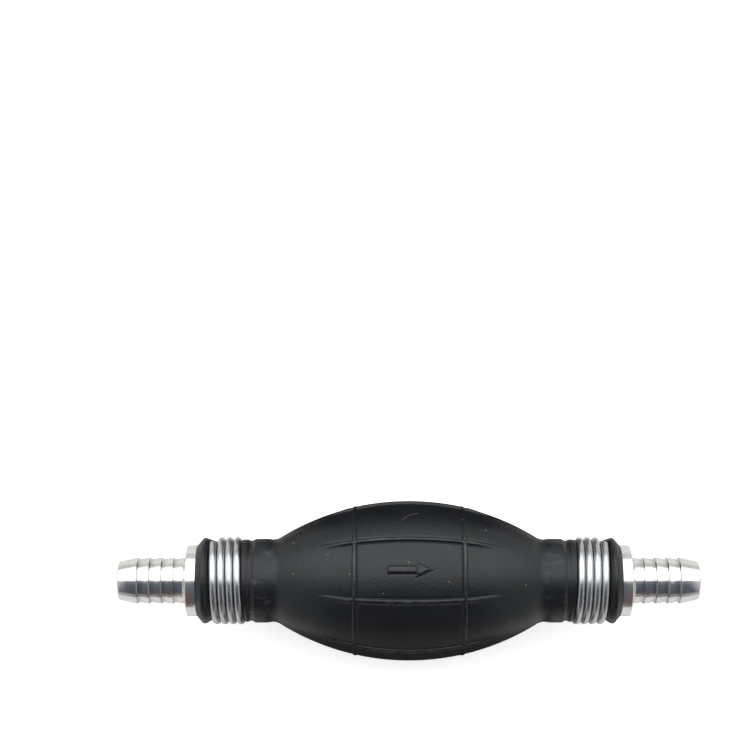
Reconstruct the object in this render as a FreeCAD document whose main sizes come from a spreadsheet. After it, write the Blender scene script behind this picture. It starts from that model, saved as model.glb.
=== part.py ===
"""Siphon bulb pump: a hollow rubber bulb between two turned fittings, each with a check valve inside.

Frame: the origin is on the pump's axis at the middle of the bulb. +X is the direction of flow, from
the inlet to the outlet, and +Z points out of the panel with the flow arrow. Sizes are millimetres.
The two ends are the same turned part, coil clamp and valve pieces. Both valves open along +X, so
the inlet valve closes on the bush at its chamber's shoulder, and the outlet valve the other way round.
"""
import FreeCAD, Part
import math
import os
import re
import Sketcher

doc = FreeCAD.newDocument("siphon_bulb_pump")
sheet = doc.addObject("Spreadsheet::Sheet", "Sizes")

DRIVING_SIZES = {
    # bulb, outside
    "bulb_radius": 22.5,
    "bulb_arc": 69.5,
    "neck_radius": 11.65,
    "neck_band_start": 38.75,
    "neck_band_rise": 0.2,
    "neck_band_end": 43.3,
    "groove_radius": 11.35,
    "groove_start": 44.2,
    "groove_end": 44.9,
    "bead_radius": 11.65,
    "bead_start": 45.4,
    "bead_end": 45.95,
    "clamp_seat_radius": 10.1,
    "clamp_seat_start": 46.07,
    "clamp_seat_end": 56.75,
    "lip_radius": 12.1,
    "lip_inner_radius": 11.1,
    "lip_crown_start": 57.2,
    "lip_crown_end": 58.1,
    "lip_end_radius": 10.0,
    "flange_face": 59.8,
    # bulb, inside
    "wall": 3.5,
    "cavity_arc": 66.0,
    "spigot_radius": 8.1,
    "rib_radius": 8.7,
    "rib_start": 45.3,
    "rib_end": 46.5,
    # moulded ribs, arrow and the panel that is pressed
    "ring_rib_place": 15.2,
    "rib_wire": 1.1,
    "rib_height": 0.45,
    "long_rib_arc": 64.8,
    "long_rib_reach": 25.6,
    "long_rib_count": 8,
    "panel_length": 27.2,
    "panel_width": 14.4,
    "panel_gap": 0.3,
    "arrow_tail": 6.3,
    "arrow_tip": 6.75,
    "arrow_neck": 1.75,
    "arrow_shaft_width": 2.3,
    "arrow_head_width": 4.3,
    "arrow_height": 0.35,
    # turned fitting
    "rim_radius": 10.05,
    "rim_end": 62.6,
    "cone_end": 63.5,
    "cone_radius": 6.55,
    "crest_radius": 6.6,
    "valley_radius": 6.05,
    "first_crest": 66.5,
    "crest_pitch": 3.4,
    "crest_count": 4,
    "crest_rise": 0.25,
    "tip_radius": 5.4,
    "tip_round": 0.5,
    "nipple_tip": 82.3,
    "port_radius": 4.2,
    "port_relief_radius": 4.6,
    "port_relief_end": 65.5,
    "shoulder": 61.2,
    "chamber_radius": 6.5,
    "spigot_end": 44.6,
    "clip_groove_radius": 7.1,
    "clip_groove_start": 46.6,
    "clip_groove_end": 47.7,
    # coil clamp
    "clamp_wire": 1.05,
    "clamp_coil_radius": 11.2,
    "clamp_pitch": 2.26,
    "clamp_turns": 3.5,
    "clamp_end": 55.18,
    "clamp_end_turn": -57.0,
    # valve pieces
    "seat_length": 4.0,
    "seat_fit": 0.04,
    "seat_bore": 3.5,
    "seat_countersink": 0.6,
    "o_ring_wire": 0.75,
    "o_ring_groove_radius": 5.0,
    "o_ring_groove_width": 1.7,
    "lift": 2.5,
    "closing_gap": 0.05,
    "poppet_radius": 5.0,
    "poppet_thickness": 2.0,
    "nose_length": 1.3,
    "nose_radius": 2.9,
    "nose_tip_radius": 1.8,
    "seal_inner_radius": 3.5,
    "seal_outer_radius": 4.6,
    "seal_depth": 0.8,
    "seal_stand": 0.25,
    "stem_radius": 1.25,
    "stem_length": 8.0,
    "spring_wire": 0.25,
    "spring_coil_radius": 2.7,
    "spring_length": 5.0,
    "spring_turns": 3.5,
    "guide_thickness": 2.2,
    "guide_ring_inner": 5.2,
    "guide_hub_radius": 2.2,
    "guide_running_fit": 0.06,
    "guide_arm_width": 1.3,
    "guide_arm_count": 3,
    "guide_arm_overlap": 0.3,
    "clip_thickness": 1.0,
    "clip_outer_radius": 7.05,
    "clip_inner_radius": 5.7,
    "clip_mouth_angle": 50.0,
    "clip_lug_inset": 6.0,
    "clip_lug_radius": 1.1,
    "clip_eye_radius": 0.5,
}
for row, (alias, number) in enumerate(DRIVING_SIZES.items(), start=1):
    sheet.set(f"A{row}", alias)
    sheet.set(f"B{row}", str(number))
    sheet.setAlias(f"B{row}", alias)
doc.recompute()

ALONG_X = FreeCAD.Vector(1, 0, 0)
ALONG_Z = FreeCAD.Vector(0, 0, 1)
SHEET_NAMES = {alias: f"Sizes.{alias}" for alias in DRIVING_SIZES}


def bound(expression):
    """An expression of aliases, such as 'wall + 2', written with the sheet's name before each alias."""
    return re.sub(r"[a-z_]+", lambda word: SHEET_NAMES.get(word.group(), word.group()), expression)


def value(expression):
    return float(sheet.evalExpression(bound(expression)))


# ---- sketches and bodies ----

def new_body(label):
    body = doc.addObject("PartDesign::Body", label)
    body.Label = label
    return body


def origin_of(body, role):
    return next(feature for feature in body.Origin.OriginFeatures if feature.Role == role)


def new_sketch(body, name, plane, turned=0.0, raised=0.0):
    """A sketch on one of the body's own origin planes, turned about and raised along its normal."""
    sketch = body.newObject("Sketcher::SketchObject", f"{body.Name}_{name}")
    sketch.AttachmentSupport = [(origin_of(body, plane), "")]
    sketch.MapMode = "FlatFace"
    lift = FreeCAD.Vector(0, 0, raised)
    sketch.AttachmentOffset = FreeCAD.Placement(lift, FreeCAD.Rotation(ALONG_Z, turned))
    return sketch


def pin_point(sketch, side, end, x_size, y_size):
    """Ties one end of a side to the sketch's origin by two sizes."""
    for kind, size, axis in (("DistanceX", x_size, -2), ("DistanceY", y_size, -1)):
        number = value(size)
        if abs(number) < 1e-9:
            sketch.addConstraint(Sketcher.Constraint("PointOnObject", side, end, axis))
            continue
        index = sketch.addConstraint(Sketcher.Constraint(kind, -1, 1, side, end, number))
        sketch.setExpression(f"Constraints[{index}]", bound(size))


def arc_between(start, end, radius):
    """The short arc from start to end. A positive radius turns left on the way, a negative one right."""
    half_chord = (end - start) * 0.5
    along = FreeCAD.Vector(half_chord).normalize()
    left = FreeCAD.Vector(-along.y, along.x, 0)
    height = math.sqrt(radius ** 2 - half_chord.Length ** 2)
    centre = start + half_chord + left * math.copysign(height, radius)
    first, last = (start, end) if radius > 0 else (end, start)
    angles = [math.atan2(spot.y - centre.y, spot.x - centre.x) for spot in (first, last)]
    return Part.ArcOfCircle(Part.Circle(centre, ALONG_Z, abs(radius)), *angles)


def closed_outline(sketch, corners, arcs=None):
    """A closed outline through corners given as pairs of sizes. arcs gives a side's signed radius."""
    arcs = arcs or {}
    spots = [FreeCAD.Vector(value(x), value(y), 0) for x, y in corners]
    sides = []
    for number, start in enumerate(spots):
        end = spots[(number + 1) % len(spots)]
        if number in arcs:
            sign, size = arcs[number]
            side = sketch.addGeometry(arc_between(start, end, sign * value(size)), False)
            sides.append((side, 1, 2) if sign > 0 else (side, 2, 1))
        else:
            side = sketch.addGeometry(Part.LineSegment(start, end), False)
            sides.append((side, 1, 2))
    for (side, _, end), (following, start, _) in zip(sides, sides[1:] + sides[:1]):
        sketch.addConstraint(Sketcher.Constraint("Coincident", side, end, following, start))
    for (side, start, _), (x_size, y_size) in zip(sides, corners):
        pin_point(sketch, side, start, x_size, y_size)
    for number, (_, size) in arcs.items():
        radius = Sketcher.Constraint("Radius", sides[number][0], value(size))
        sketch.setExpression(f"Constraints[{sketch.addConstraint(radius)}]", bound(size))
    return sketch


def circle(sketch, x_size, y_size, radius):
    """A circle whose centre and radius are sizes of the sheet."""
    centre = FreeCAD.Vector(value(x_size), value(y_size), 0)
    index = sketch.addGeometry(Part.Circle(centre, ALONG_Z, value(radius)), False)
    pin_point(sketch, index, 3, x_size, y_size)
    constraint = sketch.addConstraint(Sketcher.Constraint("Radius", index, value(radius)))
    sketch.setExpression(f"Constraints[{constraint}]", bound(radius))
    return sketch


def turned(body, sketch, kind="Revolution", axis="H_Axis", angle=360.0, midplane=False):
    """Revolves a sketch about one of its own lines, by default the pump's axis."""
    feature = body.newObject(f"PartDesign::{kind}", f"{sketch.Name}_{kind.lower()}")
    feature.Profile = sketch
    feature.ReferenceAxis = (sketch, [axis])
    feature.Angle = angle
    feature.Midplane = midplane
    return feature


def straight(body, sketch, kind, length, upward=True):
    """Pads or pockets a sketch along its normal."""
    feature = body.newObject(f"PartDesign::{kind}", f"{sketch.Name}_{kind.lower()}")
    feature.Profile = sketch
    feature.setExpression("Length", bound(length))
    cuts = kind == "Pocket"
    feature.Reversed = upward == cuts
    return feature


def polar(body, originals, count):
    pattern = body.newObject("PartDesign::PolarPattern", f"{body.Name}_round")
    pattern.Originals = originals
    pattern.Axis = (origin_of(body, "X_Axis"), [""])
    pattern.Angle = 360.0
    pattern.setExpression("Occurrences", bound(count))
    body.Tip = pattern
    return pattern


def coiled(body, sketch, pitch, turns, left_handed=False):
    """Sweeps a wire's section along a helix about the pump's axis."""
    feature = body.newObject("PartDesign::AdditiveHelix", f"{sketch.Name}_helix")
    feature.Profile = sketch
    feature.ReferenceAxis = (sketch, ["H_Axis"])
    feature.Mode = "pitch-turns-angle"
    feature.setExpression("Pitch", bound(pitch))
    feature.setExpression("Turns", bound(turns))
    feature.LeftHanded = left_handed
    return feature


def place(body, along="0", turn=FreeCAD.Rotation()):
    """Puts a body at its place along the pump's axis."""
    body.Placement = FreeCAD.Placement(FreeCAD.Vector(), turn)
    body.setExpression("Placement.Base.x", bound(along))
    return body


def arc_drop(arc, reach):
    """How far an arc, level at its top, has fallen at a distance along the axis."""
    return f"({arc} - sqrt({arc} ^ 2 - ({reach}) ^ 2))"


def arc_reach(arc, drop):
    """How far along the axis such an arc has gone when it has fallen by drop."""
    return f"sqrt({arc} ^ 2 - ({arc} - ({drop})) ^ 2)"


# ---- rubber bulb ----

def bulb():
    """One moulding: bulb, two necks with the clamps' seats and the lips, eight long ribs and two rings."""
    body = new_body("bulb")
    cavity_radius = "bulb_radius - wall"
    corners = [
        ("0", "bulb_radius"),
        (arc_reach("bulb_arc", "bulb_radius - neck_radius"), "neck_radius"),
        ("neck_band_start", "neck_radius"),
        ("neck_band_start + neck_band_rise", "neck_radius + neck_band_rise"),
        ("neck_band_end", "neck_radius + neck_band_rise"),
        ("groove_start", "groove_radius"),
        ("groove_end", "groove_radius"),
        ("bead_start", "bead_radius"),
        ("bead_end", "bead_radius"),
        ("clamp_seat_start", "clamp_seat_radius"),
        ("clamp_seat_end", "clamp_seat_radius"),
        ("clamp_seat_end", "lip_inner_radius"),
        ("lip_crown_start", "lip_radius"),
        ("lip_crown_end", "lip_radius"),
        ("flange_face", "lip_end_radius"),
        ("flange_face", "spigot_radius"),
        ("rib_end", "spigot_radius"),
        ("rib_end", "rib_radius"),
        ("rib_start", "rib_radius"),
        ("rib_start - (rib_radius - spigot_radius)", "spigot_radius"),
        (arc_reach("cavity_arc", f"{cavity_radius} - spigot_radius"), "spigot_radius"),
        ("0", cavity_radius),
    ]
    arcs = {0: (-1, "bulb_arc"), len(corners) - 2: (1, "cavity_arc")}
    half = turned(body, closed_outline(new_sketch(body, "profile", "XZ_Plane"), corners, arcs))

    rib_centre = f"bulb_radius + rib_height - rib_wire - {arc_drop('bulb_arc', 'ring_rib_place')}"
    ring_sketch = circle(new_sketch(body, "ring", "XZ_Plane"), "ring_rib_place", rib_centre, "rib_wire")
    ring = turned(body, ring_sketch)
    whole = body.newObject("PartDesign::Mirrored", "bulb_both_halves")
    whole.Originals = [half, ring]
    whole.MirrorPlane = (origin_of(body, "YZ_Plane"), [""])
    body.Tip = whole

    # each long rib is a bent round bar, sunk in the wall, that dives under the surface at its ends
    long_rib_turn = 180.0 / value("long_rib_count")
    rib_sketch = new_sketch(body, "long_rib", "YZ_Plane", turned=long_rib_turn)
    circle(rib_sketch, "0", "bulb_radius + rib_height - rib_wire", "rib_wire")
    bend_centre = "bulb_radius + rib_height - rib_wire - long_rib_arc"
    bend = [FreeCAD.Vector(sign * value("rib_wire"), value(bend_centre), 0) for sign in (-1, 1)]
    line = rib_sketch.addGeometry(Part.LineSegment(*bend), True)
    rib_sketch.addConstraint(Sketcher.Constraint("Symmetric", line, 1, line, 2, -2))
    length = Sketcher.Constraint("DistanceX", line, 1, line, 2, value("2 * rib_wire"))
    rib_sketch.setExpression(f"Constraints[{rib_sketch.addConstraint(length)}]", bound("2 * rib_wire"))
    drop = Sketcher.Constraint("DistanceY", -1, 1, line, 1, value(bend_centre))
    rib_sketch.setExpression(f"Constraints[{rib_sketch.addConstraint(drop)}]", bound(bend_centre))
    rib_angle = 2 * math.degrees(math.asin(value("long_rib_reach / long_rib_arc")))
    rib = turned(body, rib_sketch, axis="Axis0", angle=rib_angle, midplane=True)
    polar(body, [rib], "long_rib_count")

    window = new_sketch(body, "window", "XY_Plane")
    rectangle(window, "panel_length + 2 * panel_gap", "panel_width + 2 * panel_gap")
    straight(body, window, "Pocket", "2 * bulb_radius")
    return place(body)


def rectangle(sketch, length, width):
    """A rectangle centred on the sketch's origin."""
    left, right = f"0 - ({length}) / 2", f"({length}) / 2"
    low, high = f"0 - ({width}) / 2", f"({width}) / 2"
    return closed_outline(sketch, [(left, low), (right, low), (right, high), (left, high)])


def outside_of_arc(body, name, radius, arc):
    """Cuts away what stands outside the bulb's curve, drawn for the length of the pressed panel."""
    reach = "panel_length"
    low = f"{radius} - {arc_drop(arc, reach)}"
    high = "2 * bulb_radius"
    corners = [(f"0 - {reach}", low), (reach, low), (reach, high), (f"0 - {reach}", high)]
    sketch = closed_outline(new_sketch(body, name, "XZ_Plane"), corners, {0: (-1, arc)})
    return turned(body, sketch, kind="Groove")


def bulb_press_panel():
    """The wall between two long ribs and the rings, which a thumb pushes in, with the flow arrow."""
    body = new_body("bulb_press_panel")
    straight(body, rectangle(new_sketch(body, "plan", "XY_Plane"), "panel_length", "panel_width"),
             "Pad", "bulb_radius")
    outside_of_arc(body, "outer_face", "bulb_radius", "bulb_arc")
    arrow = [
        ("0 - arrow_tail", "0 - arrow_shaft_width / 2"),
        ("arrow_neck", "0 - arrow_shaft_width / 2"),
        ("arrow_neck", "0 - arrow_head_width / 2"),
        ("arrow_tip", "0"),
        ("arrow_neck", "arrow_head_width / 2"),
        ("arrow_neck", "arrow_shaft_width / 2"),
        ("0 - arrow_tail", "arrow_shaft_width / 2"),
    ]
    straight(body, closed_outline(new_sketch(body, "arrow", "XY_Plane"), arrow),
             "Pad", "bulb_radius + arrow_height")
    outside_of_arc(body, "arrow_top", "bulb_radius + arrow_height", "bulb_arc")

    # the cavity's curve, revolved, takes away all that is under the wall
    reach = "panel_length"
    floor = f"bulb_radius - wall - {arc_drop('cavity_arc', reach)}"
    corners = [(f"0 - {reach}", "0"), (reach, "0"), (reach, floor), (f"0 - {reach}", floor)]
    cavity = closed_outline(new_sketch(body, "cavity", "XZ_Plane"), corners, {2: (1, "cavity_arc")})
    turned(body, cavity, kind="Groove")
    return place(body)


# ---- turned fitting and coil clamp ----

def fitting(label, turn):
    """Barbed nipple, flange and ribbed spigot in one turned piece, bored through, with a valve chamber."""
    body = new_body(label)
    corners = [
        ("spigot_end", "chamber_radius"),
        ("spigot_end", "spigot_radius"),
        ("rib_start - (rib_radius - spigot_radius)", "spigot_radius"),
        ("rib_start", "rib_radius"),
        ("rib_end", "rib_radius"),
        ("rib_end", "spigot_radius"),
        ("flange_face", "spigot_radius"),
        ("flange_face", "rim_radius"),
        ("rim_end", "rim_radius"),
        ("cone_end", "cone_radius"),
    ]
    for crest in range(int(value("crest_count"))):
        top = f"first_crest + {crest} * crest_pitch"
        corners.append((f"{top} - crest_rise" if crest else top, "valley_radius"))
        corners.append((top, "crest_radius"))
    # the first crest's cone comes down from the flange, and the last one's runs out to the tip
    corners += [
        ("nipple_tip - tip_round", "tip_radius"),
        ("nipple_tip", "tip_radius - tip_round"),
        ("nipple_tip", "port_radius"),
        ("port_relief_end", "port_radius"),
        ("port_relief_end", "port_relief_radius"),
        ("shoulder", "port_relief_radius"),
        ("shoulder", "chamber_radius"),
        ("clip_groove_end", "chamber_radius"),
        ("clip_groove_end", "clip_groove_radius"),
        ("clip_groove_start", "clip_groove_radius"),
        ("clip_groove_start", "chamber_radius"),
    ]
    turned(body, closed_outline(new_sketch(body, "profile", "XZ_Plane"), corners))
    return place(body, turn=turn)


def coil_clamp(label, turn, left_handed):
    """Close-wound round wire, square-cut, that squeezes the neck onto the spigot from the lip inwards."""
    body = new_body(label)
    section = circle(new_sketch(body, "wire", "XZ_Plane"), "clamp_end", "clamp_coil_radius", "clamp_wire")
    helix = coiled(body, section, "clamp_pitch", "clamp_turns", left_handed)
    helix.Reversed = True
    outer_end = FreeCAD.Rotation(ALONG_X, value("clamp_end_turn"))
    return place(body, turn=outer_end * turn)


# ---- check valve ----

def valve_seat(label, along):
    """Bush with the hole that the poppet shuts, and a groove round it for its O-ring."""
    body = new_body(label)
    outer = "chamber_radius - seat_fit"
    groove_middle = "seat_length / 2"
    corners = [
        ("0", "seat_bore"),
        ("seat_length - seat_countersink", "seat_bore"),
        ("seat_length", "seat_bore + seat_countersink"),
        ("seat_length", outer),
        (f"{groove_middle} + o_ring_groove_width / 2", outer),
        (f"{groove_middle} + o_ring_groove_width / 2", "o_ring_groove_radius"),
        (f"{groove_middle} - o_ring_groove_width / 2", "o_ring_groove_radius"),
        (f"{groove_middle} - o_ring_groove_width / 2", outer),
        ("0", outer),
    ]
    turned(body, closed_outline(new_sketch(body, "profile", "XZ_Plane"), corners))
    return place(body, along)


def seat_o_ring(label, along):
    """The ring that seals the bush in the chamber."""
    body = new_body(label)
    middle = "o_ring_groove_radius + o_ring_wire"
    turned(body, circle(new_sketch(body, "section", "XZ_Plane"), "seat_length / 2", middle, "o_ring_wire"))
    return place(body, along)


def poppet(label, along):
    """Head with a nose and a groove for its seal, and the stem that keeps it straight."""
    body = new_body(label)
    corners = [
        ("0 - nose_length", "0"),
        ("0 - nose_length", "nose_tip_radius"),
        ("0", "nose_radius"),
        ("0", "seal_inner_radius"),
        ("seal_depth", "seal_inner_radius"),
        ("seal_depth", "seal_outer_radius"),
        ("0", "seal_outer_radius"),
        ("0", "poppet_radius"),
        ("poppet_thickness", "poppet_radius"),
        ("poppet_thickness", "stem_radius"),
        ("poppet_thickness + stem_length", "stem_radius"),
        ("poppet_thickness + stem_length", "0"),
    ]
    turned(body, closed_outline(new_sketch(body, "profile", "XZ_Plane"), corners))
    return place(body, along)


def poppet_seal(label, along):
    """Flat rubber ring in the poppet's face, standing a little proud of it."""
    body = new_body(label)
    corners = [
        ("0 - seal_stand", "seal_inner_radius"),
        ("seal_depth", "seal_inner_radius"),
        ("seal_depth", "seal_outer_radius"),
        ("0 - seal_stand", "seal_outer_radius"),
    ]
    turned(body, closed_outline(new_sketch(body, "section", "XZ_Plane"), corners))
    return place(body, along)


def valve_spring(label, along):
    """Light compression spring between the poppet's back and the guide."""
    body = new_body(label)
    section = circle(new_sketch(body, "wire", "XZ_Plane"), "spring_wire", "spring_coil_radius", "spring_wire")
    coiled(body, section, "(spring_length - 2 * spring_wire) / spring_turns", "spring_turns")
    return place(body, along)


def poppet_guide(label, along):
    """Ring, three arms and a hub that the poppet's stem slides in."""
    body = new_body(label)
    bore = "stem_radius + guide_running_fit"
    outer = "chamber_radius - seat_fit"
    hub = closed_outline(new_sketch(body, "hub", "XZ_Plane"), [
        ("0", bore), ("guide_thickness", bore),
        ("guide_thickness", "guide_hub_radius"), ("0", "guide_hub_radius")])
    ring = closed_outline(new_sketch(body, "ring", "XZ_Plane"), [
        ("0", "guide_ring_inner"), ("guide_thickness", "guide_ring_inner"),
        ("guide_thickness", outer), ("0", outer)])
    arm_start, arm_end = "guide_hub_radius - guide_arm_overlap", "guide_ring_inner + guide_arm_overlap"
    arm = closed_outline(new_sketch(body, "arm", "YZ_Plane"), [
        ("0 - guide_arm_width / 2", arm_start), ("guide_arm_width / 2", arm_start),
        ("guide_arm_width / 2", arm_end), ("0 - guide_arm_width / 2", arm_end)])
    turned(body, hub)
    arm_pad = straight(body, arm, "Pad", "guide_thickness")
    polar(body, [arm_pad], "guide_arm_count")
    turned(body, ring)
    return place(body, along)


def retaining_ring(label, along):
    """Internal spring ring with two lugs, each with an eye for the pliers."""
    body = new_body(label)
    face = new_sketch(body, "face", "YZ_Plane")
    half_mouth = math.radians(value("clip_mouth_angle") / 2)
    outer, inner = value("clip_outer_radius"), value("clip_inner_radius")
    start, end = math.pi / 2 + half_mouth, math.pi / 2 - half_mouth + 2 * math.pi
    arcs = [Part.ArcOfCircle(Part.Circle(FreeCAD.Vector(), ALONG_Z, r), start, end) for r in (outer, inner)]
    for arc, size in zip(arcs, ("clip_outer_radius", "clip_inner_radius")):
        index = face.addGeometry(arc, False)
        face.addConstraint(Sketcher.Constraint("Coincident", index, 3, -1, 1))
        constraint = face.addConstraint(Sketcher.Constraint("Radius", index, value(size)))
        face.setExpression(f"Constraints[{constraint}]", bound(size))
    for end_number, sign in ((1, "0 - "), (2, "")):
        ends = [arc.StartPoint if end_number == 1 else arc.EndPoint for arc in arcs]
        side = face.addGeometry(Part.LineSegment(*ends), False)
        for arc, size in enumerate(("clip_outer_radius", "clip_inner_radius")):
            face.addConstraint(Sketcher.Constraint("Coincident", side, arc + 1, arc, end_number))
            mouth = f"{sign}{size} * sin(clip_mouth_angle / 2)"
            spread = Sketcher.Constraint("DistanceX", -1, 1, arc, end_number, value(mouth))
            face.setExpression(f"Constraints[{face.addConstraint(spread)}]", bound(mouth))
    straight(body, face, "Pad", "clip_thickness")
    lug_turn = value("clip_mouth_angle / 2 + clip_lug_inset")
    for name, radius, kind in (("lug", "clip_lug_radius", "Pad"), ("eye", "clip_eye_radius", "Pocket")):
        for number, sign in enumerate((-1, 1)):
            sketch = new_sketch(body, f"{name}{number}", "YZ_Plane", turned=sign * lug_turn)
            straight(body, circle(sketch, "0", "clip_inner_radius", radius), kind, "clip_thickness")
    return place(body, along)


# ---- assembly ----

def valve(end, seat, poppet_face, spring, guide, clip):
    """One check valve's pieces, each at its place along the axis."""
    return [
        valve_seat(f"{end}_valve_seat", seat),
        seat_o_ring(f"{end}_seat_o_ring", seat),
        poppet(f"{end}_poppet", poppet_face),
        poppet_seal(f"{end}_poppet_seal", poppet_face),
        valve_spring(f"{end}_valve_spring", spring),
        poppet_guide(f"{end}_poppet_guide", guide),
        retaining_ring(f"{end}_retaining_ring", clip),
    ]


TURNED_ROUND = FreeCAD.Rotation(ALONG_Z, 180)
face_from_seat = "seat_length + closing_gap + seal_stand"
spring_from_seat = f"{face_from_seat} + poppet_thickness"
guide_from_seat = f"{spring_from_seat} + spring_length"
inlet_seat = "0 - shoulder"
outlet_seat = f"shoulder - guide_thickness - ({guide_from_seat})"

pieces = [
    bulb(),
    bulb_press_panel(),
    fitting("inlet_fitting", TURNED_ROUND),
    fitting("outlet_fitting", FreeCAD.Rotation()),
    coil_clamp("inlet_coil_clamp", TURNED_ROUND, False),
    coil_clamp("outlet_coil_clamp", FreeCAD.Rotation(), True),
]
for end, seat_place in (("inlet", inlet_seat), ("outlet", outlet_seat)):
    guide_place = f"{seat_place} + {guide_from_seat}"
    if end == "inlet":
        clip_place = "0 - clip_groove_end"
    else:
        clip_place = "clip_groove_start"
    pieces += valve(end, seat_place, f"{seat_place} + {face_from_seat}",
                    f"{seat_place} + {spring_from_seat}", guide_place, clip_place)
doc.recompute()

for thing in doc.Objects:
    if "Invalid" in thing.State or "Error" in thing.State:
        raise RuntimeError(f"{thing.Name} did not build: {thing.State}")
os.makedirs("parts", exist_ok=True)
for piece in pieces:
    shape = piece.Shape
    if shape.isNull() or not shape.isValid() or len(shape.Solids) != 1:
        raise RuntimeError(f"{piece.Label} is not one valid solid")
    print(f"{piece.Label}: {shape.Volume:.1f} mm3, x {shape.BoundBox.XMin:.2f} to {shape.BoundBox.XMax:.2f}")
    shape.exportStep(f"parts/{piece.Label}.step")
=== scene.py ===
import math

import bpy
import numpy as np
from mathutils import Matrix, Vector


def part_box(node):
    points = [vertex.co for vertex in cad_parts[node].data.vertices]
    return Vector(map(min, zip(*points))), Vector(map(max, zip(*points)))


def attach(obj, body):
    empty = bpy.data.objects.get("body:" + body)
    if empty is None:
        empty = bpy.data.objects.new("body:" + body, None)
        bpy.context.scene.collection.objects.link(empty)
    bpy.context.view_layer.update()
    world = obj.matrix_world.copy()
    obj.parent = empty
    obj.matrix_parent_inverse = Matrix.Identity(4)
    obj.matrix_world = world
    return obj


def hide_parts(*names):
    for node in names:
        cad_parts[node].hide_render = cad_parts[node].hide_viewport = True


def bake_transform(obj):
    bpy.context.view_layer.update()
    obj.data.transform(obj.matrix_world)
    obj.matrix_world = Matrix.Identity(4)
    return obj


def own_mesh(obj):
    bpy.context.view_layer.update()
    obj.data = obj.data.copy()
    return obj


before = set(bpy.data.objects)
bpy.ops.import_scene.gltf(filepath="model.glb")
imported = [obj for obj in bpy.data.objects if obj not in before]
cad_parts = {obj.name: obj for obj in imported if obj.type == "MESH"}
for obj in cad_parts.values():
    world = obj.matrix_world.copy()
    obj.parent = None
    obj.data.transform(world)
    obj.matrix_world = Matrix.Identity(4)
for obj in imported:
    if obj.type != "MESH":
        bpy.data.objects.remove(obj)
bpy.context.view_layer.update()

# the looks of the siphon bulb pump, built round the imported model
# the pump, the camera, the flags and the floor's cards are sized in millimetres, and MM makes them metres
# the other cards, the light and the depths of the materials' bumps are in metres
MM = 0.001
TURN = 2 * math.pi

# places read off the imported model, in millimetres
bulb_low, bulb_high = (np.array(corner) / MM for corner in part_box("bulb"))
fitting_low, fitting_high = (np.array(corner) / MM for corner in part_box("outlet_fitting"))
panel_high = np.array(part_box("bulb_press_panel")[1]) / MM
BULB_RADIUS = -bulb_low[2]
FLANGE_FACE = bulb_high[0]
RIM_RADIUS = fitting_high[2]
NIPPLE_TIP = fitting_high[0]
SPIGOT_END = fitting_low[0]
ARROW_HEIGHT = panel_high[2] - BULB_RADIUS

# the bulb's own curve, ribs and arrow, in millimetres
BULB_ARC = 69.5
CAVITY_ARC = 66.0
WALL = 3.5
NECK_RADIUS = 11.65
NECK_BAND = 11.85
SEAT_RADIUS = 10.1
CURVE_END = 35.2
BEAD_START, BEAD_END = 45.4, 46.0
LIP_START, LIP_CROWN, LIP_RADIUS = 56.75, 57.25, 12.1
SPIGOT_RADIUS = 8.1
RING_RIB = 15.2
RIB_HALF_WIDTH = 0.68
RIB_HEIGHT = 0.58
RIB_GROOVE = 0.12
GROOVE_ASIDE, GROOVE_WIDTH = 0.1, 0.17
CROSSING_DIP, CROSSING_WIDTH = 0.12, 0.9
RING_LOW_SHARE = 0.4
RING_LOW_SINE, RING_FULL_SINE = 0.8, 0.95
RING_NARROWER = 1.02
LONG_RIB_FULL = 16.0
LONG_RIB_END = 26.6
LONG_RIB_COUNT = 8
ARROW_TAIL, ARROW_NECK, ARROW_TIP = -6.3, 1.75, 6.75
ARROW_SHAFT, ARROW_HEAD, ARROW_JOIN = 1.25, 2.25, 0.5
ARROW_BEVEL = 0.7
ARROW_PROUD = 1.35
FOOT_ABOVE, FOOT_BELOW = 0.03, 0.1
FOOT_ASIDE, FOOT_WIDTH, FOOT_TURN = 0.12, 0.14, 0.6

# the fitting's barb, in millimetres
FIRST_CREST, CREST_PITCH = 66.5, 3.4

# the coil clamp's helix, in millimetres and degrees round the axis from +Y towards +Z
WIRE_RADIUS = 1.1
COIL_RADIUS = 11.2
COIL_PITCH = 2.26
COIL_TURNS = 3.5
COIL_START = 55.18
COIL_START_ANGLE = 33.0
SEAT_GAP = 0.1

# the valve springs, in millimetres
SPRING_WIRE = 0.25
SPRING_TURNS = 3.5


# ---- meshes ----

def mesh_piece(name, points, faces, material, body=None):
    """A mesh piece from points in millimetres, which rides on a CAD body if one is named."""
    mesh = bpy.data.meshes.new(name)
    mesh.from_pydata([tuple(point) for point in np.asarray(points) * MM], [], faces)
    mesh.validate()
    mesh.update()
    mesh.polygons.foreach_set("use_smooth", [True] * len(mesh.polygons))
    mesh.materials.append(material)
    piece = bpy.data.objects.new(name, mesh)
    bpy.context.collection.objects.link(piece)
    if body:
        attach(piece, body)
    return piece


def grid_faces(rows, columns, wrap_rows=False, wrap_columns=True):
    """Quads of a grid of points that are numbered row by row."""
    faces = []
    for row in range(rows if wrap_rows else rows - 1):
        below, above = row * columns, (row + 1) % rows * columns
        for column in range(columns if wrap_columns else columns - 1):
            following = (column + 1) % columns
            faces.append((below + column, below + following, above + following, above + column))
    return faces


def store(piece, name, values):
    """Keeps a number, or a vector, for each point of a piece for its material to read."""
    values = np.asarray(values, np.float32)
    kind, field = ("FLOAT_VECTOR", "vector") if values.ndim == 2 else ("FLOAT", "value")
    attribute = piece.data.attributes.new(name, kind, "POINT")
    attribute.data.foreach_set(field, values.ravel())


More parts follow.
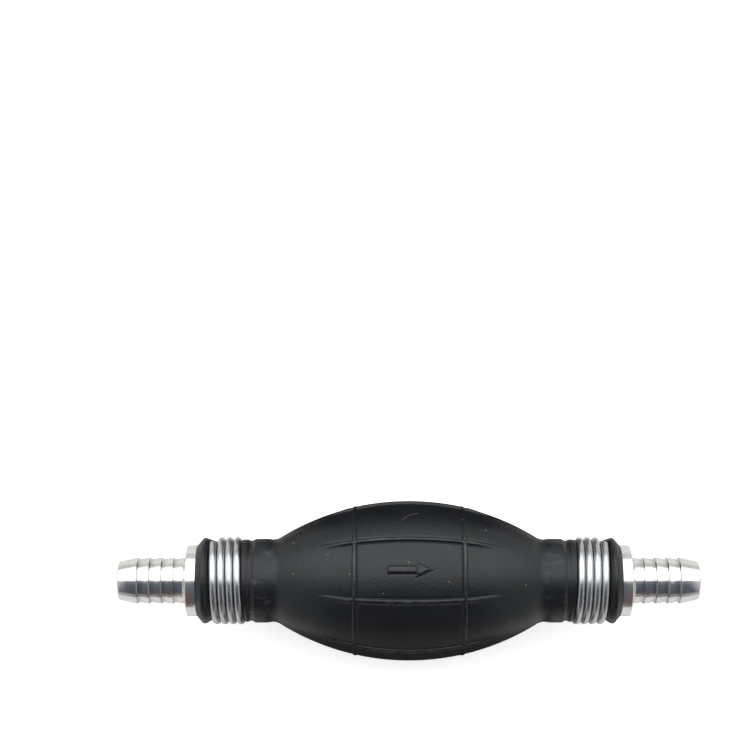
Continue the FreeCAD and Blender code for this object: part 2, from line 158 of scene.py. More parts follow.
def rounded(corners, steps=5):
    """An outline in (x, r) through corners (x, r, rounding), each rounding cut by an arc's few points."""
    points = []
    spots = [np.array(corner[:2], float) for corner in corners]
    for number, corner in enumerate(corners):
        here, rounding = spots[number], corner[2]
        if rounding == 0 or number in (0, len(corners) - 1):
            points.append(here)
            continue
        back, on = spots[number - 1] - here, spots[number + 1] - here
        back, on = back / np.linalg.norm(back), on / np.linalg.norm(on)
        half = math.acos(np.clip(back @ on, -1, 1)) / 2
        inward = (back + on) / np.linalg.norm(back + on)
        centre = here + inward * rounding / math.sin(half)
        start = here + back * rounding / math.tan(half) - centre
        end = here + on * rounding / math.tan(half) - centre
        sweep = math.acos(np.clip(start @ end / rounding ** 2, -1, 1))
        for share in np.linspace(0, 1, steps):
            weights = math.sin((1 - share) * sweep), math.sin(share * sweep)
            points.append(centre + (weights[0] * start + weights[1] * end) / math.sin(sweep))
    return np.array(points)


def smoothstep(low, high, value):
    """0 below low, 1 above high and a smooth rise between them."""
    share = np.clip((value - low) / (high - low), 0, 1)
    return share * share * (3 - 2 * share)


# ---- rubber bulb ----

def bulb_curve(x):
    """Outer radius of the bulb between its necks."""
    return BULB_RADIUS - BULB_ARC + np.sqrt(BULB_ARC ** 2 - x ** 2)


def bead(offset):
    """Height of a moulded rib at an offset across it: a round crown with a fine groove each side."""
    crown = np.sqrt(np.clip(1 - (offset / RIB_HALF_WIDTH) ** 2, 0, 1)) ** 1.3
    groove = np.exp(-((np.abs(offset) - RIB_HALF_WIDTH - GROOVE_ASIDE) / GROOVE_WIDTH) ** 2)
    return RIB_HEIGHT * crown - RIB_GROOVE * groove


def arrow_edge_distance(x, y):
    """How far inside the arrow's outline a point is, and less than 0 outside it."""
    y = np.abs(y)
    shaft = np.minimum(np.minimum(x - ARROW_TAIL, ARROW_NECK + ARROW_JOIN - x), ARROW_SHAFT - y)
    along, across = ARROW_TIP - ARROW_NECK, ARROW_HEAD
    slant = ((ARROW_TIP - x) * across - y * along) / math.hypot(along, across)
    return np.maximum(shaft, np.minimum(x - ARROW_NECK, slant))


def relief(x, angle):
    """Height of ribs and arrow over the bulb's curve, at a place along the axis and an angle round it."""
    radius = bulb_curve(np.clip(x, -CURVE_END, CURVE_END))
    spacing = TURN / LONG_RIB_COUNT
    across = (angle % spacing - spacing / 2) * radius
    from_ring = np.abs(x) - RING_RIB
    long_rib = bead(across) * (1 - smoothstep(LONG_RIB_FULL, LONG_RIB_END, np.abs(x)))
    up_share = smoothstep(RING_LOW_SINE, RING_FULL_SINE, np.abs(np.sin(angle)))
    ring = bead(from_ring * RING_NARROWER) * (RING_LOW_SHARE + (1 - RING_LOW_SHARE) * up_share)
    higher, lower = np.maximum(long_rib, ring), np.minimum(long_rib, ring)
    crossing = np.exp(-(across ** 2 + from_ring ** 2) / CROSSING_WIDTH ** 2)
    ribs = np.where(higher > 0, higher, lower) - CROSSING_DIP * crossing
    aside = radius * np.cos(angle)
    on_top = np.sin(angle) > 0
    inside = np.where(on_top, arrow_edge_distance(x, aside), -BULB_RADIUS)
    arrow = ARROW_PROUD * ARROW_HEIGHT * smoothstep(0, ARROW_BEVEL, inside)
    depth = FOOT_BELOW + (FOOT_ABOVE - FOOT_BELOW) * smoothstep(-FOOT_TURN, FOOT_TURN, aside)
    return ribs + arrow - depth * np.exp(-((inside + FOOT_ASIDE) / FOOT_WIDTH) ** 2)


def seat_ends(angle):
    """Where the clamp's first and last turns leave the rubber, which follows them round the neck."""
    start = math.radians(COIL_START_ANGLE)
    since_start = ((angle - start) % TURN) / TURN
    end_angle = start + COIL_TURNS * TURN
    since_end = ((angle - end_angle) % TURN) / TURN
    edge = WIRE_RADIUS + SEAT_GAP
    step = 0.02
    lip = COIL_START + edge - COIL_PITCH * since_start + COIL_PITCH * smoothstep(1 - step, 1, since_start)
    last = COIL_START - COIL_PITCH * COIL_TURNS - edge
    bead_edge = last + COIL_PITCH * (1 - since_end) * smoothstep(0, step, since_end)
    return bead_edge, lip


def bulb_skin(material):
    """The whole bulb as one closed skin, in place of the CAD bulb and its pressed panel."""
    # close steps over each rib's crown, foot and grooves, and over the arrow
    half_fine = np.array([0, .2, .38, .52, .61, .68, .75, .84, .96, 1.15, 1.5])
    fine = np.concatenate([-half_fine[:0:-1], half_fine])
    rib_step = TURN / LONG_RIB_COUNT
    rib_fine = fine / BULB_RADIUS
    between = np.linspace(rib_fine[-1], rib_step - rib_fine[-1], 14)[1:-1]
    angles = [rib_step / 2 + k * rib_step + a for k in range(LONG_RIB_COUNT) for a in (*rib_fine, *between)]
    fan_width, fan_gap, arrow_rows_end = 2.6, 0.15, 7.0
    arrow_fan = TURN / 4 + np.linspace(-fan_width, fan_width, 31) / BULB_RADIUS
    kept = [a for a in angles if abs(a % TURN - TURN / 4) > (fan_width + fan_gap) / BULB_RADIUS]
    angles = np.array(sorted(set(np.round(np.concatenate([np.array(kept) % TURN, arrow_fan]), 7))))

    rows = np.concatenate([
        np.linspace(0, arrow_rows_end, 44), np.linspace(arrow_rows_end, RING_RIB + fine[0], 9)[1:-1],
        RING_RIB + fine, np.linspace(RING_RIB + fine[-1], CURVE_END, 24)[1:]])
    half_curve = np.stack([rows, bulb_curve(rows)], 1)
    groove_radius = 11.35
    collar = rounded([
        (CURVE_END, float(bulb_curve(CURVE_END)), 0), (37.2, NECK_RADIUS, 4.0), (38.5, NECK_RADIUS, 0),
        (40.0, NECK_BAND, 2.0), (43.3, NECK_BAND, 0.5),
        (44.2, groove_radius, 0.4), (44.9, groove_radius, 0.4),
        (BEAD_START + 0.1, 11.68, 0.2), (BEAD_END, 11.6, 0.25), (BEAD_END, SEAT_RADIUS, 0)])
    lip = rounded([
        (LIP_START, SEAT_RADIUS, 0), (LIP_START, 10.95, 0.1), (LIP_CROWN, LIP_RADIUS, 0.35),
        (58.1, LIP_RADIUS, 0.7), (FLANGE_FACE, 10.1, 0.35), (FLANGE_FACE, SPIGOT_RADIUS, 0)])
    half_outside = np.concatenate([half_curve, collar[1:], lip])
    cavity_radius = BULB_RADIUS - WALL
    cavity_reach = math.sqrt(CAVITY_ARC ** 2 - (CAVITY_ARC - cavity_radius + SPIGOT_RADIUS) ** 2)
    inner = np.linspace(0, cavity_reach, 26)
    half_inside = np.stack([inner, cavity_radius - CAVITY_ARC + np.sqrt(CAVITY_ARC ** 2 - inner ** 2)], 1)
    outside = np.concatenate([half_outside[:0:-1] * (-1, 1), half_outside])
    inside = np.concatenate([half_inside[::-1], half_inside[1:] * (-1, 1)])
    profile = np.concatenate([outside, inside])

    x = np.repeat(profile[:, 0][:, None], len(angles), 1)
    radius = np.repeat(profile[:, 1][:, None], len(angles), 1)
    spin = np.repeat(angles[None, :], len(profile), 0)
    outer = np.zeros(len(profile), bool)
    outer[:len(outside)] = True
    on_curve = outer[:, None] & (np.abs(x) <= CURVE_END)
    height = np.where(on_curve, relief(x, spin), 0)
    slope = x / np.sqrt(BULB_ARC ** 2 - np.clip(x, -FLANGE_FACE, FLANGE_FACE) ** 2)
    lean = 1 / np.sqrt(1 + slope ** 2)
    x = x + height * slope * lean * on_curve
    radius = radius + height * lean

    bead_edge, lip_edge = seat_ends(spin)
    along, side = np.abs(profile[:, 0])[:, None], np.sign(profile[:, 0])[:, None]
    in_bead = outer[:, None] & (along >= BEAD_START) & (along <= BEAD_END + 0.01)
    in_lip = outer[:, None] & (along >= LIP_START - 0.01) & (along <= LIP_CROWN)
    bead_share = (along - BEAD_START) / (BEAD_END - BEAD_START)
    lip_share = (along - LIP_START) / (LIP_CROWN - LIP_START)
    x = np.where(in_bead, side * (BEAD_START + bead_share * (bead_edge - BEAD_START)), x)
    x = np.where(in_lip, side * (lip_edge + lip_share * (LIP_CROWN - lip_edge)), x)

    points = np.stack([x, radius * np.cos(spin), radius * np.sin(spin)], 2).reshape(-1, 3)
    faces = grid_faces(len(profile), len(angles), wrap_rows=True)
    skin = mesh_piece("rubber_bulb", points, faces, material)
    store(skin, "rest", points * MM)
    store(skin, "relief", (height / RIB_HEIGHT).ravel())
    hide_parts("bulb", "bulb_press_panel")
    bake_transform(skin)


# ---- wound wire ----

def wound_wire(centre, outward, radius, around, bevel):
    """Round wire along a curve, square cut: points, faces, and each point's angle and place along it."""
    along = np.gradient(centre, axis=0)
    along /= np.linalg.norm(along, axis=1)[:, None]
    across = np.cross(along, outward)
    last = len(centre) - 1
    rings = [(0, 0, radius - bevel), (0, bevel, radius)]
    rings += [(k, 0, radius) for k in range(1, last)]
    rings += [(last, -bevel, radius), (last, 0, radius - bevel)]
    minor = np.arange(around) / around * TURN
    points = []
    for index, shift, reach in rings:
        circle = np.cos(minor)[:, None] * outward[index] + np.sin(minor)[:, None] * across[index]
        points.append(centre[index] + along[index] * shift + reach * circle)
    faces = grid_faces(len(rings), around)
    faces.append(tuple(range(around))[::-1])
    faces.append(tuple(range((len(rings) - 1) * around, len(rings) * around)))
    share = np.repeat([index / last for index, _, _ in rings], around)
    return np.concatenate(points), faces, np.tile(minor, len(rings)), share


def wire_piece(name, winding, material):
    """A piece of wound wire with flat cut faces."""
    points, faces, minor, share = winding
    piece = mesh_piece(name, points, faces, material, "pump_body")
    for face in piece.data.polygons[-2:]:
        face.use_smooth = False
    return piece, minor, share


def coil_clamp(end, side, material):
    """Round wire wound from the lip inwards, square cut at both ends."""
    share = np.linspace(0, 1, int(COIL_TURNS * 110))
    angle = math.radians(COIL_START_ANGLE) + share * COIL_TURNS * TURN
    place = COIL_START - share * COIL_TURNS * COIL_PITCH
    outward = np.stack([0 * angle, np.cos(angle), np.sin(angle)], 1)
    centre = COIL_RADIUS * outward + np.outer(side * place, (1, 0, 0))
    winding = wound_wire(centre, outward, WIRE_RADIUS, around=26, bevel=0.12)
    coil, minor, share = wire_piece(f"{end}_coil_wire", winding, material)
    store(coil, "wire", np.stack([np.cos(minor), np.sin(minor), share * COIL_TURNS], 1))
    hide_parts(f"{end}_coil_clamp")


def closing_spring(end, material):
    """The valve's spring, wound over the length of the CAD spring in its place."""
    low, high = (np.array(corner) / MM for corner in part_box(f"{end}_valve_spring"))
    share = np.linspace(0, 1, int(SPRING_TURNS * 64))
    angle = TURN / 4 + share * SPRING_TURNS * TURN
    place = low[0] + SPRING_WIRE + share * (high[0] - low[0] - 2 * SPRING_WIRE)
    outward = np.stack([0 * angle, np.cos(angle), np.sin(angle)], 1)
    centre = (high[2] - SPRING_WIRE) * outward + np.outer(place, (1, 0, 0))
    winding = wound_wire(centre, outward, SPRING_WIRE, around=14, bevel=0.03)
    spring, _, _ = wire_piece(f"{end}_closing_spring", winding, material)
    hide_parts(f"{end}_valve_spring")
    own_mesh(spring)


# ---- turned fittings ----

def fitting(end, side, material):
    """The turned nipple, flange and spigot with the tool's small roundings on its edges."""
    crest, valley, cone, tip = 6.6, 6.05, 6.55, 5.4
    crest_count, rim_end, cone_end = 4, 62.6, 63.5
    rib, rib_start, rib_end = 8.7, 45.3, 46.5
    port, relief_radius, relief_end = 4.2, 4.6, 65.5
    chamber, shoulder = 6.5, 61.2
    groove, groove_start, groove_end = 7.1, 46.6, 47.7
    corners = [
        (SPIGOT_END, chamber, 0), (SPIGOT_END, SPIGOT_RADIUS, 0.2), (44.7, SPIGOT_RADIUS, 0),
        (rib_start, rib, 0.1), (rib_end, rib, 0.1), (rib_end, SPIGOT_RADIUS, 0.05),
        (FLANGE_FACE, SPIGOT_RADIUS, 0.1), (FLANGE_FACE, RIM_RADIUS, 0.15), (rim_end, RIM_RADIUS, 0.25),
        (cone_end, cone, 0.4)]
    for number in range(crest_count):
        top = FIRST_CREST + number * CREST_PITCH
        corners += [(top - (0.25 if number else 0.1), valley, 0.25), (top, crest, 0.08)]
    corners += [
        (NIPPLE_TIP, tip, 0.75), (NIPPLE_TIP, port, 0.25), (relief_end, port, 0),
        (relief_end, relief_radius, 0), (shoulder, relief_radius, 0), (shoulder, chamber, 0),
        (groove_end, chamber, 0), (groove_end, groove, 0), (groove_start, groove, 0),
        (groove_start, chamber, 0)]
    profile = rounded(corners, steps=6)
    around = 144
    spin = np.arange(around) / around * TURN
    points = np.concatenate([
        np.stack([np.full(around, side * x), r * np.cos(spin), r * np.sin(spin)], 1) for x, r in profile])
    piece = mesh_piece(f"{end}_turned_fitting", points, grid_faces(len(profile), around, wrap_rows=True),
                       material, "pump_body")
    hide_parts(f"{end}_fitting")


# ---- materials ----

def node(tree, kind, inputs=None, **settings):
    """A shader node with its settings and inputs, where an input may be a value or another's output."""
    made = tree.nodes.new(kind)
    for name, setting in settings.items():
        setattr(made, name, setting)
    for name, value in (inputs or {}).items():
        socket = made.inputs[name]
        if isinstance(value, bpy.types.NodeSocket):
            tree.links.new(value, socket)
        else:
            socket.default_value = value
    return made


def ramp(tree, source, stops):
    """A colour ramp through (place, brightness or colour) stops."""
    made = node(tree, "ShaderNodeValToRGB", {"Fac": source})
    elements = made.color_ramp.elements
    while len(elements) < len(stops):
        elements.new(0.5)
    for element, (place, colour) in zip(elements, stops):
        element.position = place
        colour = (colour,) * 3 if isinstance(colour, (int, float)) else colour
        element.color = (*colour, 1)
    return made.outputs["Color"]


def maths(tree, operation, first, second=0.0, third=0.0):
    return node(tree, "ShaderNodeMath", {0: first, 1: second, 2: third}, operation=operation).outputs[0]


def scaled(tree, vector, factor):
    """A vector times a number."""
    return node(tree, "ShaderNodeVectorMath", {0: vector, "Scale": factor}, operation="SCALE").outputs[0]


def noise(tree, vector, scale, detail=2.0, rough=0.5, **settings):
    inputs = {"Scale": scale, "Detail": detail, "Roughness": rough}
    made = node(tree, "ShaderNodeTexNoise", inputs, **settings)
    target = "W" if settings.get("noise_dimensions") == "1D" else "Vector"
    tree.links.new(vector, made.inputs[target])
    return made.outputs["Fac"]


def mixed(tree, share, first, second):
    made = node(tree, "ShaderNodeMix", data_type="RGBA", blend_type="MIX")
    for socket, value in ((made.inputs[0], share), (made.inputs[6], first), (made.inputs[7], second)):
        if isinstance(value, bpy.types.NodeSocket):
            tree.links.new(value, socket)
        else:
            socket.default_value = value
    return made.outputs[2]


def new_material(name, **settings):
    """A material and its principled shader, with uniform values set straight on its sockets."""
    material = bpy.data.materials.new(name)
    material.use_nodes = True
    shader = material.node_tree.nodes["Principled BSDF"]
    for socket, value in settings.items():
        shader.inputs[socket.replace("_", " ")].default_value = value
    return material, material.node_tree, shader


def bump(tree, shader, height, distance, under=None):
    inputs = {"Height": height, "Distance": distance, "Strength": 1.0}
    if under:
        inputs["Normal"] = under
    made = node(tree, "ShaderNodeBump", inputs).outputs["Normal"]
    tree.links.new(made, shader.inputs["Normal"])
    return made


def bulb_rubber():
    """Satin black moulded rubber with a fine grain, dust, a few rub marks, and rib crowns lightened partly
    by wear and partly by a painted highlight.
    """
    material, tree, shader = new_material("moulded_rubber", IOR=1.44, Specular_Tint=(0.94, 0.98, 1.0, 1.0))
    rest = node(tree, "ShaderNodeAttribute", attribute_name="rest").outputs["Vector"]
    crown = node(tree, "ShaderNodeAttribute", attribute_name="relief").outputs["Fac"]
    clouds = noise(tree, rest, 70, 3)
    base = ramp(tree, clouds, [(0.3, (0.0042, 0.0050, 0.0062)), (0.7, (0.0062, 0.0070, 0.0084))])

    speck_cells = node(tree, "ShaderNodeTexVoronoi", {"Vector": rest, "Scale": 330.0, "Randomness": 1.0})
    speck = ramp(tree, speck_cells.outputs["Distance"], [(0.045, 1.0), (0.075, 0.0)])
    chosen = ramp(tree, speck_cells.outputs["Color"], [(0.57, 0.0), (0.6, 1.0)])
    dust = maths(tree, "MULTIPLY", speck, chosen)
    base = mixed(tree, dust, base, (0.16, 0.16, 0.16, 1))

    # a hair of lint lies in a bend beside the upper long rib, here in millimetres
    hair_x, hair_y, hair_rise, hair_curl = 0.1, 16.0, 0.55, -0.11
    place = node(tree, "ShaderNodeSeparateXYZ", {0: scaled(tree, rest, 1 / MM)})
    steepness = maths(tree, "MULTIPLY_ADD", place.outputs["X"], hair_curl, hair_rise)
    bend = maths(tree, "ADD", maths(tree, "MULTIPLY", place.outputs["X"], steepness), hair_y)
    aside = maths(tree, "ABSOLUTE", maths(tree, "SUBTRACT", place.outputs["Y"], bend))
    reach = maths(tree, "ABSOLUTE", maths(tree, "SUBTRACT", place.outputs["X"], hair_x))
    hair = maths(tree, "MULTIPLY", ramp(tree, aside, [(0.04, 1.0), (0.16, 0.0)]),
                 ramp(tree, maths(tree, "MULTIPLY", reach, 0.2), [(0.4, 1.0), (0.54, 0.0)]))
    hair = maths(tree, "MULTIPLY", hair, maths(tree, "GREATER_THAN", place.outputs["Z"], 0.0))
    base = mixed(tree, maths(tree, "MULTIPLY", hair, 0.5), base, (0.12, 0.12, 0.12, 1))

    # the rib crowns are lighter, partly from wear and partly as a painted highlight along each crest
    crown_wear_and_highlight = maths(tree, "MULTIPLY", ramp(tree, crown, [(0.7, 0.0), (1.0, 1.0)]),
                 ramp(tree, noise(tree, rest, 220, 3), [(0.4, 0.0), (0.65, 1.0)]))
    base = mixed(tree, maths(tree, "MULTIPLY", crown_wear_and_highlight, 0.5), base, (0.07, 0.07, 0.072, 1))

    # rub marks lie on the raised band of each neck, with places as shares of 100 mm
    along = maths(tree, "MULTIPLY", maths(tree, "ABSOLUTE", place.outputs["X"]), 0.01)
    on_neck = maths(tree, "MULTIPLY", ramp(tree, along, [(0.375, 0.0), (0.39, 1.0)]),
                    ramp(tree, along, [(0.43, 1.0), (0.45, 0.0)]))
    stretched = node(tree, "ShaderNodeMapping", {"Vector": rest, "Scale": (0.35, 1.0, 1.0)}).outputs[0]
    smears = ramp(tree, noise(tree, stretched, 420, 4, 0.65), [(0.52, 0.0), (0.72, 1.0)])
    rubbed = maths(tree, "MULTIPLY", maths(tree, "MULTIPLY", smears, on_neck), 0.45)
    base = mixed(tree, rubbed, base, (0.075, 0.076, 0.078, 1))
    tree.links.new(base, shader.inputs["Base Color"])

    patches = ramp(tree, noise(tree, rest, 120, 4, 0.6), [(0.3, 0.34), (0.7, 0.44)])
    edge_on = node(tree, "ShaderNodeLayerWeight", {"Blend": 0.5}).outputs["Facing"]
    patches = mixed(tree, ramp(tree, edge_on, [(0.6, 0.0), (0.95, 1.0)]), patches, (0.54, 0.54, 0.54, 1))
    polished = ramp(tree, crown, [(0.55, 0.0), (0.95, 1.0)])
    patches = mixed(tree, maths(tree, "MULTIPLY", polished, 0.85), patches, (0.2, 0.2, 0.2, 1))
    tree.links.new(mixed(tree, rubbed, patches, (0.62, 0.62, 0.62, 1)), shader.inputs["Roughness"])
    grain = noise(tree, rest, 2600, 2, 0.6)
    pores = noise(tree, rest, 1300, 2, 0.5)
    under = bump(tree, shader, grain, 0.00002)
    bump(tree, shader, pores, 0.00005, under=under)
    return material


def turned_aluminium():
    """Bright aluminium with the lathe tool's fine rings, duller where it has been handled, and painted shade
    in the barb's valleys.
    """
    material, tree, shader = new_material("turned_aluminium", Metallic=1.0)
    place = node(tree, "ShaderNodeTexCoord").outputs["Object"]
    parts = node(tree, "ShaderNodeSeparateXYZ", {0: place})
    radius = maths(tree, "SQRT", maths(tree, "ADD", maths(tree, "POWER", parts.outputs["Y"], 2.0),
                                       maths(tree, "POWER", parts.outputs["Z"], 2.0)))
    lathe = maths(tree, "ADD", maths(tree, "ABSOLUTE", parts.outputs["X"]), radius)
    rings = noise(tree, lathe, 5200, 3, 0.6, noise_dimensions="1D")
    bands = noise(tree, lathe, 900, 2, 0.5, noise_dimensions="1D")
    handled = noise(tree, place, 160, 4, 0.6)
    tone = ramp(tree, handled, [(0.3, (0.745, 0.735, 0.72)), (0.7, (0.845, 0.835, 0.815))])
    # painted shade: each valley of the barb is darker towards the next step, where the step would shade it
    from_crest = maths(tree, "SUBTRACT", maths(tree, "ABSOLUTE", parts.outputs["X"]), FIRST_CREST * MM)
    pitch, barb_middle, barb_half_length = CREST_PITCH * MM, 3.9 * MM, 6.3 * MM
    share = maths(tree, "DIVIDE", maths(tree, "FLOORED_MODULO", from_crest, pitch), pitch)
    from_middle = maths(tree, "ABSOLUTE", maths(tree, "SUBTRACT", from_crest, barb_middle))
    on_barb = maths(tree, "LESS_THAN", from_middle, barb_half_length)
    painted_valley_shade = maths(tree, "MULTIPLY", ramp(tree, share, [(0.5, 0.0), (0.9, 1.0)]), on_barb)
    tone = mixed(tree, maths(tree, "MULTIPLY", painted_valley_shade, 0.45), tone, (0.22, 0.215, 0.21, 1))
    tree.links.new(tone, shader.inputs["Base Color"])
    wear = maths(tree, "MULTIPLY", maths(tree, "ADD", handled, bands), 0.5)
    tree.links.new(ramp(tree, wear, [(0.3, 0.13), (0.7, 0.26)]), shader.inputs["Roughness"])
    under = bump(tree, shader, rings, 0.000004)
    bump(tree, shader, bands, 0.000008, under=under)
    return material


def zinc_wire():
    """Bright zinc-plated spring wire with faint drawing lines along it and a cool, uneven tint."""
    material, tree, shader = new_material("zinc_plated_wire", Metallic=1.0)
    place = node(tree, "ShaderNodeTexCoord").outputs["Object"]
    wire = node(tree, "ShaderNodeAttribute", attribute_name="wire").outputs["Vector"]
    drawn = noise(tree, wire, 9, 4, 0.7)
    blotches = noise(tree, place, 260, 4, 0.6)
    tone = ramp(tree, blotches, [(0.3, (0.475, 0.49, 0.505)), (0.7, (0.565, 0.577, 0.585))])
    tree.links.new(tone, shader.inputs["Base Color"])
    wear = maths(tree, "MULTIPLY", maths(tree, "ADD", drawn, blotches), 0.5)
    tree.links.new(ramp(tree, wear, [(0.3, 0.23), (0.7, 0.34)]), shader.inputs["Roughness"])
    bump(tree, shader, drawn, 0.000007)
    return material


def inner_material(name, low, high, metallic, roughness, ring_scale):
    """A turned, moulded or drawn inner piece: two tones, uneven polish and fine rings round the axis."""
    material, tree, shader = new_material(name, Metallic=metallic)
    place = node(tree, "ShaderNodeTexCoord").outputs["Object"]
    parts = node(tree, "ShaderNodeSeparateXYZ", {0: place})
    clouds = noise(tree, place, 400, 4, 0.6)
    tree.links.new(ramp(tree, clouds, [(0.3, low), (0.7, high)]), shader.inputs["Base Color"])
    polish = ramp(tree, clouds, [(0.3, roughness[0]), (0.7, roughness[1])])
    tree.links.new(polish, shader.inputs["Roughness"])
    grain = 0.000004
    rings = noise(tree, parts.outputs["X"], ring_scale, 2, 0.5, noise_dimensions="1D")
    under = bump(tree, shader, rings, grain)
    bump(tree, shader, noise(tree, place, 3000, 2), grain, under=under)
    return material


def inner_finishes():
    """A material for each kind of valve piece."""
    looks = {
        "turned_brass": ((0.72, 0.50, 0.22), (0.84, 0.64, 0.33), 1.0, (0.18, 0.32), 5000),
        "white_acetal": ((0.72, 0.71, 0.67), (0.82, 0.81, 0.78), 0.0, (0.3, 0.42), 1800),
        "nitrile_rubber": ((0.012, 0.012, 0.013), (0.02, 0.02, 0.021), 0.0, (0.4, 0.55), 900),
        "stainless_wire": ((0.5, 0.5, 0.49), (0.66, 0.66, 0.65), 1.0, (0.15, 0.3), 3000),
        "phosphated_steel": ((0.05, 0.05, 0.055), (0.1, 0.1, 0.105), 0.8, (0.4, 0.6), 1500),
    }
    made = {name: inner_material(name, *look) for name, look in looks.items()}
    return {
        "valve_seat": made["turned_brass"], "poppet": made["white_acetal"],
        "poppet_guide": made["white_acetal"], "seat_o_ring": made["nitrile_rubber"],
        "poppet_seal": made["nitrile_rubber"], "valve_spring": made["stainless_wire"],
        "retaining_ring": made["phosphated_steel"],
    }


def dress_inner_pieces(end, finishes):
    """Finishes an end's valve pieces, which stay as they come from the CAD model."""
    for part, finish in finishes.items():
        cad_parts[f"{end}_{part}"].data.materials[0] = finish


# ---- floor, light and camera ----

def stage_piece(name, points, faces, colour, glow=(0, 0, 0), seen=True, mirrored=True, lights=False):
    """A floor, card or flag of the studio. One that is not seen is there for reflections only."""
    material, _, shader = new_material(f"{name}_paper", Roughness=0.9, Specular_IOR_Level=0.0)
    shader.inputs["Base Color"].default_value = (*colour, 1)
    shader.inputs["Emission Color"].default_value = (*glow, 1)
    shader.inputs["Emission Strength"].default_value = 1.0
    piece = mesh_piece(name, np.asarray(points) / MM, faces, material)
    piece.visible_camera = seen
    piece.visible_shadow = False
    piece.visible_diffuse = lights
    piece.visible_glossy = mirrored


def curved_cards(name, low, high, distance, reach, glows):
    """Glowing cards bent round the pump's axis, between elevations counted from -Y over +Z."""
    marks = np.radians(np.linspace(low, high, len(glows) + 1))
    for number, glow in enumerate(glows):
        tilt = np.linspace(marks[number], marks[number + 1], 6)
        points = [(x, -distance * math.cos(a), distance * math.sin(a))
                  for a in tilt for x in reach]
        faces = grid_faces(len(tilt), 2, wrap_columns=False)
        stage_piece(f"{name}_{number}", points, faces, (0, 0, 0), glow, seen=False)


def flag(name, reach, radius, behind, height, shade):
    """A dark tube behind the pump that only its reflections show, as another pump beside it would."""
    spin = np.linspace(0, TURN, 33)[:-1]
    points = [(x * MM, (behind + r * math.cos(a)) * MM, (height + r * math.sin(a)) * MM)
              for x, r in zip(reach, radius) for a in spin]
    stage_piece(name, points, grid_faces(len(reach), len(spin)), (shade,) * 3, seen=False)


def floor_card(name, near, far, reach, tone):
    """A sheet lying on the floor beside the pump that only reflections show."""
    level = -BULB_RADIUS + 0.2
    points = [(x * MM, y * MM, level * MM) for y in (near, far) for x in reach]
    stage_piece(name, points, [(0, 1, 3, 2)], (0, 0, 0), (tone,) * 3, seen=False)


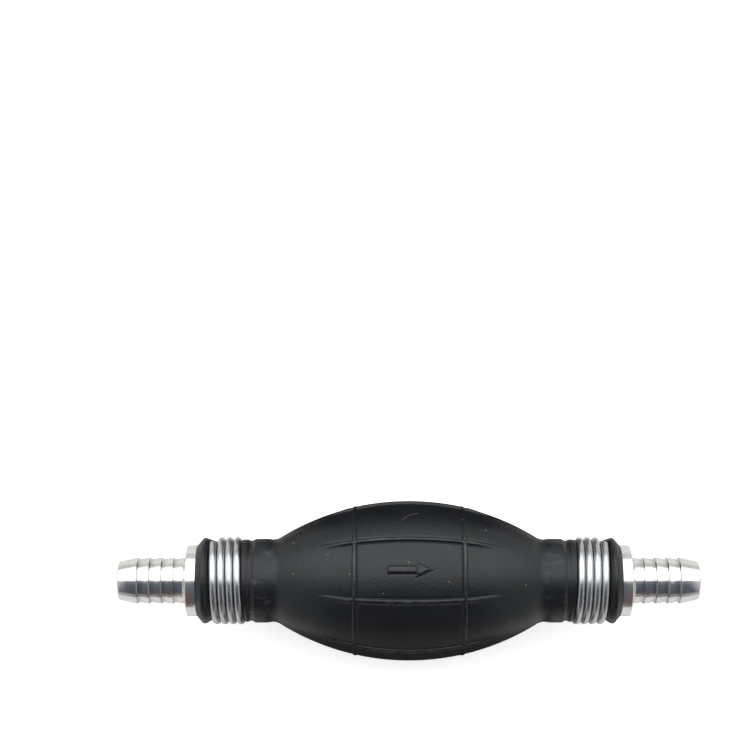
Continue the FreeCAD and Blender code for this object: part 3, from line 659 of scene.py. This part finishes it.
def studio():
    """A pale floor, a big soft light overhead and behind, and cards and flags for the reflections."""
    reach, floor_level = 4.0, -BULB_RADIUS * MM
    corners = [(-reach, -reach), (reach, -reach), (reach, reach), (-reach, reach)]
    stage_piece("floor", [(x, y, floor_level) for x, y in corners], [(0, 1, 2, 3)],
                (0.8, 0.8, 0.8), (0.57, 0.57, 0.57), mirrored=False)
    stage_piece("floor_tone", [(x, y, floor_level - 0.5 * MM) for x, y in corners], [(0, 1, 2, 3)],
                (0.62, 0.615, 0.6), seen=False, lights=True)

    horizon, floor_edge, overhead = 2.4, -1.3, 81
    curved_cards("front_card", horizon, overhead, 0.9, (-0.75, 0.75), [
        (0.08, 0.086, 0.098), (0.07, 0.086, 0.115), (0.075, 0.096, 0.135), (0.12, 0.14, 0.185)])
    curved_cards("warm_card", floor_edge, overhead, 0.88, (-0.3, 0.32), [
        (0.15, 0.09, 0.082), (0.15, 0.1, 0.095), (0.145, 0.135, 0.138), (0.165, 0.164, 0.17)])
    curved_cards("cool_card", horizon, overhead, 0.87, (-0.095, 0.11), [
        (0.09, 0.11, 0.135), (0.09, 0.115, 0.16), (0.095, 0.125, 0.175), (0.12, 0.15, 0.205)])
    curved_cards("back_card", 154, 180, 0.9, (-0.9, 0.9), [(0.62, 0.62, 0.62)])

    # painted shadow: the dark sheets nearest the bulb, in front and behind, stand in for the floor's shade
    # round it, seen only in reflections
    floor_card("near_floor_shadow_card", -18, -54, (-42, 42), 0.06)
    floor_card("front_floor_card", -54, -300, (-48, 48), 0.36)
    floor_card("back_floor_shadow_card", 21, 80, (-41, 41), 0.05)
    for side in (-1, 1):
        floor_card(f"far_floor_card_{side + 1}", -125, -880, sorted((side * 62, side * 260)), 0.12)
        floor_card(f"light_floor_card_{side + 1}", -18, -125, sorted((side * 50, side * 120)), 0.8)
        wall = [(side * 1.7, y, z) for y in (-0.05, 1.4) for z in (0.02, 0.85)]
        stage_piece(f"side_card_{side + 1}", wall, [(0, 1, 3, 2)], (0, 0, 0), (1.15, 1.15, 1.15), seen=False)

    neck_start, neck_end = 37, 57
    along = np.linspace(-neck_start, neck_start, 15)
    flag("bulb_flag", along, 22 - along ** 2 / (2 * BULB_ARC), 46, -1.5, 0.06)
    for side in (-1, 1):
        flag(f"neck_flag_{side + 1}", (side * neck_start, side * neck_end), (11.5, 11.5), 44, -10, 0.25)

    world = bpy.data.worlds.new("pale_studio")
    bpy.context.scene.world = world
    world.use_nodes = True
    background = world.node_tree.nodes["Background"]
    background.inputs["Color"].default_value = (1.0, 1.0, 1.0, 1)
    background.inputs["Strength"].default_value = 0.6

    key = bpy.data.lights.new("overhead_softbox", "AREA")
    key.shape, key.size, key.size_y = "RECTANGLE", 4.6, 2.15
    key.energy = 52
    distance, lean = 1.5, math.radians(28.1)
    softbox = bpy.data.objects.new("overhead_softbox", key)
    softbox.location = Vector((0, distance * math.sin(lean), distance * math.cos(lean)))
    softbox.rotation_euler = (-softbox.location).to_track_quat("-Z", "Y").to_euler()
    bpy.context.collection.objects.link(softbox)


def camera():
    """Looks steeply down from the -Y side, with the pump low in the frame. Lengths in millimetres."""
    distance, aside, above = 525.77, 9.5207, 58.4031
    elevation = math.radians(82.3) - math.atan(above / distance)
    forward = Vector((0, math.cos(elevation), -math.sin(elevation)))
    upward = Vector((0, math.sin(elevation), math.cos(elevation)))
    data = bpy.data.cameras.new("camera")
    data.sensor_width, data.lens = 36.0, 88.8
    shot = bpy.data.objects.new("camera", data)
    shot.location = (Vector((-aside, 0, 0)) + upward * above - forward * distance) * MM
    shot.rotation_euler = forward.to_track_quat("-Z", "Y").to_euler()
    bpy.context.collection.objects.link(shot)
    bpy.context.scene.camera = shot


camera()
studio()
bulb_skin(bulb_rubber())
wire, metal, finishes = zinc_wire(), turned_aluminium(), inner_finishes()
for end, side in (("inlet", -1), ("outlet", 1)):
    coil_clamp(end, side, wire)
    fitting(end, side, metal)
for end in ("inlet", "outlet"):
    closing_spring(end, finishes["valve_spring"])
    dress_inner_pieces(end, finishes)
bpy.context.scene.view_settings.view_transform = "Standard"
